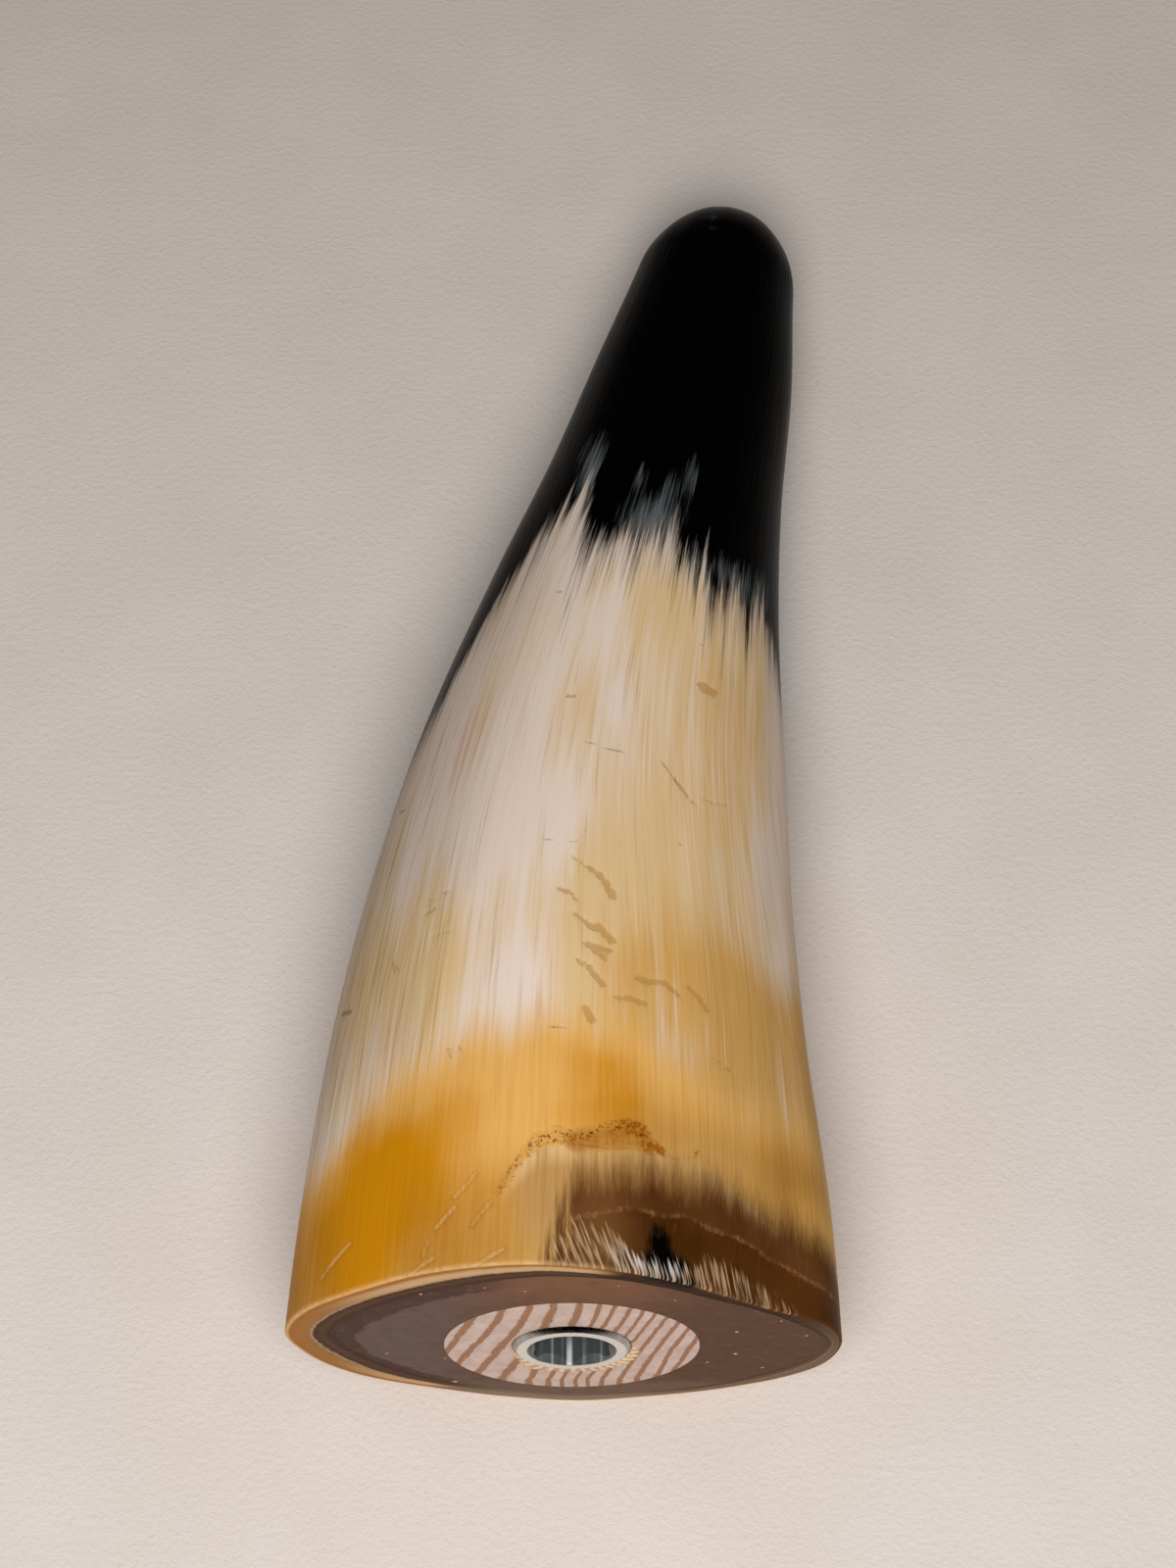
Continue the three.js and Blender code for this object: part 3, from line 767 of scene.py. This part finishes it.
def paint_stain(p, body):
    """A thin film, and the dotted crust that dried round it."""
    film = p.smooth(p.plus("film", grit=0.3, fine=0.3), 1.7, 0.6, 0, 0.95)
    film = p.times(film, p.smooth(p.plus(p.strands, p.fine, p.grit), -1.2, 1.2, 0.55, 1.0))
    body = p.tint(film, body, 170, 110, 42)
    stain = p.plus("stain", grit=0.5, cloud=0.5)
    dots = p.plus(dots=1.5, grit=0.4)
    thick = p.field("crust")
    body = p.tint(p.times(p.smooth(stain, 1.1, 0.3), thick, 0.45), body, 176, 116, 42)
    crust = p.times(p.smooth(stain, 0.95, 0.2), p.smooth(p.plus(dots, thick), 0.4, 1.05), 0.92)
    return p.mix(crust, body, p.mix(p.smooth(dots, 0.0, 0.9), tone(162, 92, 14), tone(96, 46, 4)))


def paint_wear(p, body):
    """Chips with painted shade round their edge, thin dark scratches, and pale saw marks with painted shade
    beside them.
    """
    chip = p.plus("chip", grit=0.2, cloud=0.08)
    chip_share = p.smooth(chip, 0.07, -0.05)
    body = p.tint(p.times(chip_share, 0.6), body, 186, 136, 62)
    # Painted shade round the edge of each chip.
    chip_edge_shade = p.times(p.smooth(chip, 0.14, 0.05), p.smooth(chip, -0.05, 0.05))
    body = p.tint(p.times(chip_edge_shade, 0.22), body, 134, 92, 40)
    scratch = p.plus("scratch", grit=0.06)
    body = p.tint(p.smooth(scratch, 0.22, 0.0, 0, 0.6), body, 112, 80, 48)
    groove = p.plus("groove", grit=0.05)
    body = p.tint(p.smooth(groove, 0.2, 0.0, 0, 0.42), body, 228, 192, 154)
    # Painted shade beside each saw mark.
    groove_shade = p.times(p.smooth(groove, 0.44, 0.28), p.smooth(groove, 0.16, 0.28), 0.18)
    return p.tint(groove_shade, body, 120, 74, 34), chip_share


def paint_black(p, body):
    """Black keratin towards the tip, with a thin greyish blue haze in streaks above its edge, and a painted
    reflection near the tip.
    """
    ragged = p.plus("ink", strands=2.8, broad=2.0, ends=1.8)
    ink_at = p.plus(ragged, fine=1.6, hairs=2.6)
    smoke = p.smooth(p.plus(ragged, fine=4.0, hairs=4.0), -9.0, 1.5, 0, 0.5)
    body = p.tint(smoke, body, 92, 84, 78)
    wisps = p.plus(strands=0.4, fine=0.4, hairs=0.5, ends=0.3)
    # The spots near the tip are a painted reflection; the rest is the veil's own colour.
    thick = p.field("veil_and_sheen")
    veil_and_sheen = p.plus(thick, p.times(wisps, p.smooth(thick, 0.05, 0.5)))
    ink = p.mix(p.smooth(veil_and_sheen, 0.4, 1.8, 0, 0.62), tone(3, 3, 3), tone(132, 139, 142))
    ink_share = p.smooth(ink_at, -2.8, 2.8)
    return p.mix(ink_share, body, ink), ink_share


# The cut through the wall: a colour for each share of the way in from the skin.
HONEY_WALL = [
    (0.0, 152, 100, 46), (0.3, 156, 106, 54), (0.47, 146, 104, 62), (0.52, 166, 138, 108),
    (0.58, 72, 46, 30), (0.76, 86, 60, 44), (0.92, 64, 42, 30), (0.97, 78, 54, 42),
]
BROWN_WALL = [
    (0.0, 70, 44, 24), (0.5, 52, 30, 16), (0.92, 56, 34, 20), (0.955, 128, 100, 80),
]
UNDER_WALL = [
    (0.0, 126, 104, 82), (0.3, 112, 88, 68), (0.5, 134, 112, 88), (0.56, 104, 80, 60), (0.8, 88, 66, 50),
    (0.9, 100, 78, 60), (0.955, 66, 44, 32),
]


def paint_cut_wall(p, body):
    """Clear honey outside, a pale line, then a dark inner layer on the left; brown on the right."""
    wall = p.plus("wall", cloud=0.04, grit=0.03)
    upness = p.field("upness")
    across = p.times(p.smooth(wall, 0.08, 0.3), p.smooth(wall, 0.54, 0.44))
    creamy = p.times(p.smooth(p.math("ABSOLUTE", upness), 0.3, 0.8), across, 0.7)
    honey_side = p.tint(creamy, p.ramp(wall, HONEY_WALL), 214, 176, 132)
    under_side = p.tint(p.smooth(upness, -0.8, -1.0, 0, 0.5), p.ramp(wall, UNDER_WALL), 150, 132, 112)
    brown_side = p.mix(p.smooth(upness, 0.4, -0.4), p.ramp(wall, BROWN_WALL), under_side)
    leftward = p.plus("leftness", (p.math("MAXIMUM", upness, 0.0), 0.2))
    cut = p.mix(p.smooth(leftward, 0.2, 0.4), brown_side, honey_side)
    cut = p.tint(p.smooth("soot", 1.0, -0.4), cut, 10, 6, 4)
    cut = p.tint(p.smooth(p.grit, 0.4, 1.1, 0, 0.3), cut, 150, 126, 108)
    return p.mix(p.smooth("wall", 0.0, 0.05), body, cut)


# ---- the filler ----
FILLER_GAP = 0.03
FILLER_WAVE = 0.03
END_GAP = 0.3  # mm free at the end of the hollow, and behind the dowel
FILLER_SIDES = 240
# Where dust has set in the filler, on the cut face: [x, z, radius].
SPECKS = [
    (-24.8, 27, 0.2), (-20.4, 16.9, 0.16), (-13.2, 7.1, 0.26), (-14, 15.3, 0.12), (-15.8, 36, 0.18),
    (17.9, 24, 0.2), (18, 16.8, 0.22), (15, 13.9, 0.16), (21.2, 12, 0.18), (25.5, 22.8, 0.14),
    (22.5, 27.5, 0.12), (5, 38.5, 0.12), (-4.8, 36.8, 0.14), (11, 34, 0.12), (-9, 38, 0.12),
]


def make_filler(material):
    turns = np.linspace(0, TAU, FILLER_SIDES, endpoint=False)
    hole = lathe([(DOWEL_R + FILLER_GAP, 0)], turns)[0]
    edge = hollow_wall(0 * turns, turns, 1, FILLER_GAP)
    rows, insets = [], []
    for angle in np.linspace(0, math.pi / 2, 20)[1:-1][::-1]:
        at = np.full_like(turns, (HOLLOW_DEPTH - END_GAP) * math.sin(angle))
        rows.append(hollow_wall(at, turns, math.cos(angle) ** HOLLOW_BLUNTNESS, FILLER_GAP))
        insets.append(0 * turns)
    width = np.linalg.norm(hole - edge, axis=-1)
    for share in np.linspace(0, 1, 40) ** 1.2:
        ring = edge + (hole - edge) * share
        ring[:, 1] += FILLER_WAVE * waves(ring[:, 0], ring[:, 2], 2.5) * math.sin(share * math.pi)
        rows.append(ring)
        insets.append(width * share)
    rows.append(hole + [0, DOWEL_LENGTH + END_GAP, 0])
    insets.append(width)
    points = capped(np.array(rows))
    fields = {"face": points - [0, 0, DOWEL_Z], "inset": capped(np.array(insets)[..., None])[:, 0]}
    faces = tube_faces(len(rows), FILLER_SIDES, True)
    new_piece("resin_filler", "resin_fill", points, faces, fields, material)


def filler_material():
    p = Paint("filler")
    at = p.places("face")
    cloud = p.noise(at, 6.0, 4, 0.6)
    mottle = p.noise(at, 1.6, 4, 0.65)
    grit = p.noise(at, 0.35, 2)
    side = p.add("ShaderNodeSeparateXYZ", {0: at}, "X")
    height = p.add("ShaderNodeSeparateXYZ", {0: at}, "Z")
    brown = p.mix(p.smooth(p.plus(height, (cloud, 2)), 8, 20), tone(88, 58, 40), tone(116, 76, 50))
    brown = p.tint(p.smooth(side, 4, 18), brown, 84, 54, 36)
    higher = p.smooth(height, -4, 6, 0.4, -0.9)
    inset = p.plus("inset", (mottle, 0.55), (cloud, 0.8), higher)
    brown = p.tint(p.times(p.smooth(inset, 1.9, 1.5), p.smooth(side, -4, -12)), brown, 66, 42, 32)
    haze = p.times(p.smooth(inset, 1.7, 2.1), p.smooth(p.plus(side, (cloud, 3)), -3, -17))
    brown = p.tint(haze, brown, 94, 74, 66)
    brown = p.tint(p.smooth(height, -10.5, -13.5, 0, 0.5), brown, 116, 94, 78)
    brown = p.tint(p.smooth(mottle, 0.0, 0.9, 0, 0.3), brown, 68, 44, 32)
    brown = p.tint(p.smooth(mottle, 0.0, -0.9, 0, 0.3), brown, 124, 92, 72)
    brown = p.tint(p.smooth(grit, 0.2, 1.0, 0, 0.25), brown, 128, 100, 82)
    for x, z, radius in SPECKS:
        off = p.add("ShaderNodeVectorMath", {0: at, 1: (x, 0, z - DOWEL_Z)}, "Value", operation="DISTANCE")
        speck = p.smooth(p.plus(off, (grit, 0.06)), radius + 0.06, radius - 0.06)
        brown = p.tint(speck, brown, 190, 166, 146)
    gloss = p.plus(0.62, (grit, 0.05))
    relief = p.plus((mottle, 0.6), (grit, 0.5))
    return p.finish(brown, gloss, p.bump(relief, 0.03), Specular_IOR_Level=0.2)


# ---- the dowel ----
DOWEL_SIDES = 300
# The dark rings across the end of the dowel: x where each one crosses four heights z.
RING_HEIGHTS = (8, 19, 25.5, 32)
RINGS = [
    (-19, -16, -14.2, -12.8), (-16.8, -13.3, -11.4, -9.8), (-14.4, -10.9, -8.6, -7.2),
    (-11.4, -7.8, -5.8, -4.4), (-7.9, -4.8, -3, -1.9), (-4.8, -1.9, 0, 0.9), (-2.6, 0.1, 2, 3.05),
    (-1.2, 1.6, 3.3, 4.6), (0.4, 3.2, 5.1, 6.4), (1.7, 4.7, 6.6, 7.8), (3.3, 6.2, 7.9, 9.4),
    (5.3, 7.8, 9.4, 11), (7.2, 9.5, 11.1, 12.8), (9.4, 11.1, 12.7, 14.2), (10.7, 13, 14.3, 15.8),
    (12.4, 14.8, 16, 17.4),
]
# How far the torn fibres reach from the axis: [degrees round from the left, mm].
TORN_REACH = [
    (0, 6.9), (30, 6.6), (90, 6.5), (150, 6.5), (168, 6.8), (180, 7.3), (200, 7.9), (225, 8.5), (250, 8.7),
    (270, 8.8), (290, 8.8), (308, 8.5), (322, 7.6), (340, 7.1),
]
TEETH = 40
TORN_HEIGHT = 0.3


def make_dowel(material):
    turns = np.linspace(0, TAU, DOWEL_SIDES, endpoint=False)
    profile = [(r, 0) for r in np.linspace(DOWEL_R, SEAT_R, 40)]
    seat = FLANGE_LENGTH + 0.2
    profile += [(SEAT_R, seat), (BORE_R, seat), (BORE_R, BORE_DEPTH), (0.5, BORE_DEPTH)]
    back = [(r, DOWEL_LENGTH) for r in (0.5, DOWEL_R * 0.5, DOWEL_R - 0.2)] + [(DOWEL_R, DOWEL_LENGTH - 0.2)]
    bore = lathe(profile, turns)
    outside = lathe(back + [(DOWEL_R, 0.4)], turns)
    # Torn fibres stand up round the lower side of the hole, and up its right side.
    reach = np.array([r for r, _ in profile])[:, None]
    face = np.array([y == 0 for _, y in profile])[:, None]
    degrees = np.degrees(turns)
    teeth = np.sin(turns * TEETH + 2.2 * np.sin(turns * 3))
    torn = around(TORN_REACH, 360)(degrees) * (1 + 0.025 * teeth) - reach
    bore[..., 1] -= face * TORN_HEIGHT * np.clip(torn / 1.5, 0, 1) * (0.6 + 0.4 * teeth)
    grid = np.concatenate([outside, bore])
    torn = np.concatenate([np.full(outside.shape[:2], -5.0), np.where(face, torn, -5.0)])
    points = capped(grid)
    fields = {
        "face": points - [0, 0, DOWEL_Z],
        "ring": ring_number(points[:, 0], points[:, 2]),
        "torn": capped(torn[..., None])[:, 0],
        "teeth": capped(np.tile(teeth, (len(grid), 1))[..., None])[:, 0],
    }
    faces = tube_faces(len(grid), DOWEL_SIDES, True)
    new_piece("wood_dowel", "dowel", points, faces, fields, material)


def ring_number(x, z):
    """Counts the rings across the end of the dowel: whole numbers on the dark rings."""
    at = [through(list(zip(RING_HEIGHTS, crossings)))(z) for crossings in RINGS]
    number = np.zeros_like(x)
    for k in range(len(RINGS) - 1):
        inside = (x >= at[k]) & (x < at[k + 1])
        number = np.where(inside, k + (x - at[k]) / (at[k + 1] - at[k]), number)
    return np.where(x >= at[-1], len(RINGS) - 1, number)


def lathe(profile, turns):
    """Rows of points about the axis of the dowel, from (radius, y) pairs. A radius may be one per turn."""
    rows = []
    for radius, y in profile:
        r = radius * np.ones_like(turns)
        rows.append(np.stack([-np.cos(turns) * r, y + 0 * r, DOWEL_Z + np.sin(turns) * r], -1))
    return np.array(rows)


def dowel_material():
    p = Paint("softwood")
    at = p.places("face")
    wobble = p.noise(at, (2.2, 30, 2.2), 3, 0.6)
    fibre = p.noise(at, (0.22, 20, 0.22), 2)
    ring = p.plus("ring", (wobble, 0.09), (fibre, 0.06))
    phase = p.math("ABSOLUTE", p.math("SUBTRACT", p.math("FRACT", p.plus(ring, 0.5)), 0.5))
    pale = p.mix(p.smooth(wobble, -0.8, 0.8), tone(208, 186, 176), tone(194, 166, 152))
    dark = p.mix(p.smooth(fibre, -0.6, 0.8), tone(142, 96, 64), tone(170, 126, 98))
    wood = p.mix(p.smooth(phase, 0.2, 0.13), pale, dark)
    wood = p.tint(p.smooth(fibre, 0.0, 1.0, 0, 0.25), wood, 150, 120, 100)
    torn = p.plus("torn", (fibre, 0.12), (wobble, 0.12))
    wood = p.tint(p.smooth(torn, -0.05, 0.3, 0, 0.85), wood, 196, 158, 112)
    # Painted highlight: the crest of each torn tooth is painted lighter; the honey colour of the torn fibres
    # is their own.
    teeth = p.smooth(p.plus("teeth", (fibre, 0.6)), -0.4, 0.8)
    wood = p.tint(p.times(p.smooth(torn, 0.15, 0.6), teeth, 0.8), wood, 238, 214, 182)
    return p.finish(wood, 0.7, p.bump(p.plus(fibre, (wobble, 0.4)), 0.03))


# ---- the insert ----
INSERT_SIDES = 240


def recess_radius(turns):
    """Radius of the hex recess by direction, with its round reliefs in the corners."""
    sixth = TAU / 6
    off = (turns - math.pi / 2 + sixth / 2) % sixth - sixth / 2
    flat = HEX_HALF_FLATS / np.cos(sixth / 2 - np.abs(off))
    middle = HEX_HALF_FLATS / math.cos(sixth / 2) - RELIEF_R + 0.05
    inside = np.maximum(RELIEF_R**2 - (middle * np.sin(off)) ** 2, 0)
    relief = np.where(inside > 0, middle * np.cos(off) + np.sqrt(inside), 0)
    return np.maximum(flat, relief)


def make_insert(material):
    turns = np.linspace(0, TAU, INSERT_SIDES, endpoint=False)
    front = -INSERT_PROUD
    recess = recess_radius(turns)
    profile = [(BODY_R - 0.3, INSERT_LENGTH), (BODY_R, INSERT_LENGTH - 0.3)]
    profile += [(BODY_R, y) for y in np.linspace(INSERT_LENGTH - 1, FLANGE_LENGTH + 0.5, 12)]
    profile += [(BODY_R, FLANGE_LENGTH), (FLANGE_R - 0.05, FLANGE_LENGTH), (FLANGE_R, FLANGE_LENGTH - 0.05)]
    profile += [(FLANGE_R, 0.05), (FLANGE_R - 0.03, -0.02)]
    profile += [(FLANGE_RIM_R + 0.06, front + 0.05), (FLANGE_RIM_R - 0.02, front)]
    profile += [(r, front) for r in np.linspace(FLANGE_RIM_R - 0.2, MOUTH_R + 0.1, 6)]
    for t in np.linspace(0, 0.95, 20):
        profile.append((np.maximum(MOUTH_R - t, recess), front + t + 0.02))
    profile += [(recess, y) for y in np.linspace(0.6, HEX_DEPTH - 0.05, 14)]
    profile += [(recess * 0.985, HEX_DEPTH), (THREAD_MAJOR_R * 0.97, HEX_DEPTH + 0.02)]
    for y in np.arange(HEX_DEPTH + 0.15, INSERT_LENGTH - 0.1, THREAD_PITCH / 8):
        phase = (y / THREAD_PITCH - turns / TAU) % 1
        profile.append((THREAD_MINOR_R + (THREAD_MAJOR_R - THREAD_MINOR_R) * np.abs(2 * phase - 1), y))
    profile.append((THREAD_MAJOR_R, INSERT_LENGTH))
    grid = lathe(profile, turns)
    points = grid.reshape(-1, 3)
    from_axis = np.hypot(points[:, 0], points[:, 2] - DOWEL_Z)
    in_recess = (from_axis < MOUTH_R - 0.02) & (points[:, 1] < HEX_DEPTH + 0.01)
    on_ring = (from_axis > MOUTH_R) & (from_axis < FLANGE_RIM_R) & (points[:, 1] < 0)
    fields = {
        "face": points - [0, 0, DOWEL_Z],
        "recess": in_recess.astype(float),
        "ring": on_ring.astype(float),
    }
    faces = tube_faces(len(grid), INSERT_SIDES, False)
    new_piece("drive_insert", "threaded_insert", points, faces, fields, material)


def insert_material():
    p = Paint("zinc_alloy")
    at = p.places("face")
    blots = p.noise(at, 1.2, 3)
    grit = p.noise(at, 0.12, 2)
    depth = p.add("ShaderNodeSeparateXYZ", {0: at}, "Y")
    painted_facet_streaks = p.noise(at, (0.9, 30, 30), 2)
    side = p.add("ShaderNodeSeparateXYZ", {0: at}, "X")
    height = p.add("ShaderNodeSeparateXYZ", {0: at}, "Z")
    metal = p.mix(p.smooth(blots, -0.8, 0.9), tone(184, 182, 178), tone(160, 158, 152))
    # Painted highlight: the front face of the ring is painted lighter than the rest of the metal.
    metal = p.tint(p.smooth("ring", 0.4, 0.6), metal, 232, 233, 232)
    # Painted shade: the hex recess is painted dark, with lighter vertical streaks painted on its facets as
    # highlights.
    inner = p.mix(p.smooth(painted_facet_streaks, 0.1, 0.9), tone(86, 91, 88), tone(170, 180, 180))
    # Painted highlight: a glint in the bottom corner of the recess, brightest near its mouth.
    painted_glint = p.smooth(p.math("ABSOLUTE", p.plus(side, 0.3)), 0.4, 0.15)
    painted_glint = p.times(painted_glint, p.smooth(height, -3.8, -4.2))
    inner = p.tint(p.times(painted_glint, p.smooth(depth, 3.0, 0.4, 0.2, 1.0)), inner, 250, 252, 252)
    recess = p.field("recess")
    metal = p.mix(p.smooth(recess, 0.3, 0.7), metal, inner)
    gloss = p.plus(0.27, (blots, 0.04), (grit, 0.03))
    metallic = p.smooth(recess, 0.3, 0.7, 1.0, 0.4)
    return p.finish(metal, gloss, p.bump(grit, 0.006), Metallic=metallic)


# ---- floor, light and camera ----
FLOOR_HALF = 3.0  # metres
CAMERA_PLACE = (1.770, -119.228, 369.431)  # mm, in horn coordinates
CAMERA_DOWN = 61.617  # degrees below level
CAMERA_LENS = 76.5
LAMP_PLACE = (0, -250, 430)  # mm, in horn coordinates
LAMP_TARGET = (0, 40, 0)
LAMP_SIZE = 0.32  # metres
LAMP_POWER = 2.55
WORLD_STRENGTH = 0.16


def make_floor():
    mesh = bpy.data.meshes.new("floor")
    corners = [(x * FLOOR_HALF, y * FLOOR_HALF, 0) for x, y in ((-1, -1), (1, -1), (1, 1), (-1, 1))]
    mesh.from_pydata(corners, [], [(0, 1, 2, 3)])
    p = Paint("floor")
    at = p.add("ShaderNodeTexCoord", {}, "Object")
    patches = p.noise(at, 0.02, 3)
    grain = p.noise(at, 0.0008, 3, 0.7)
    pale = p.mix(p.smooth(patches, -1, 1), tone(227, 217, 209), tone(223, 212, 203))
    pale = p.tint(p.smooth(grain, 0.2, 1.2, 0, 0.18), pale, 196, 186, 176)
    mesh.materials.append(p.finish(pale, 0.75, p.bump(grain, 0.04)))
    floor = new_object("floor", mesh)


def make_light(name, place_mm, target_mm, size, power):
    light = bpy.data.lights.new(name, "AREA")
    light.shape = "DISK"
    light.size = size
    light.energy = power
    lamp = new_object(name, light)
    start = np.array(place_mm) * MM + ORIGIN
    end = np.array(target_mm) * MM + ORIGIN
    lamp.location = start
    direction = end - start
    lamp.rotation_euler = (
        math.pi / 2 - math.atan2(-direction[2], math.hypot(direction[0], direction[1])),
        0,
        math.atan2(-direction[0], direction[1]),
    )
    lamp.visible_glossy = False


def make_camera():
    data = bpy.data.cameras.new("camera")
    data.sensor_fit = "AUTO"
    data.sensor_width = 36
    data.lens = CAMERA_LENS
    data.clip_start = 0.01
    camera = new_object("camera", data)
    camera.location = np.array(CAMERA_PLACE) * MM + ORIGIN
    camera.rotation_euler = (math.radians(90 - CAMERA_DOWN), 0, 0)
    bpy.context.scene.camera = camera


def make_world():
    world = bpy.data.worlds.new("studio")
    world.use_nodes = True
    background = world.node_tree.nodes["Background"]
    background.inputs["Color"].default_value = (1.0, 0.98, 0.96, 1)
    background.inputs["Strength"].default_value = WORLD_STRENGTH
    world.cycles_visibility.glossy = False
    bpy.context.scene.world = world


make_camera()
make_world()
make_floor()
make_light("softbox", LAMP_PLACE, LAMP_TARGET, LAMP_SIZE, LAMP_POWER)
make_horn(horn_material())
make_filler(filler_material())
make_dowel(dowel_material())
make_insert(insert_material())

bpy.context.scene.view_settings.view_transform = "Standard"
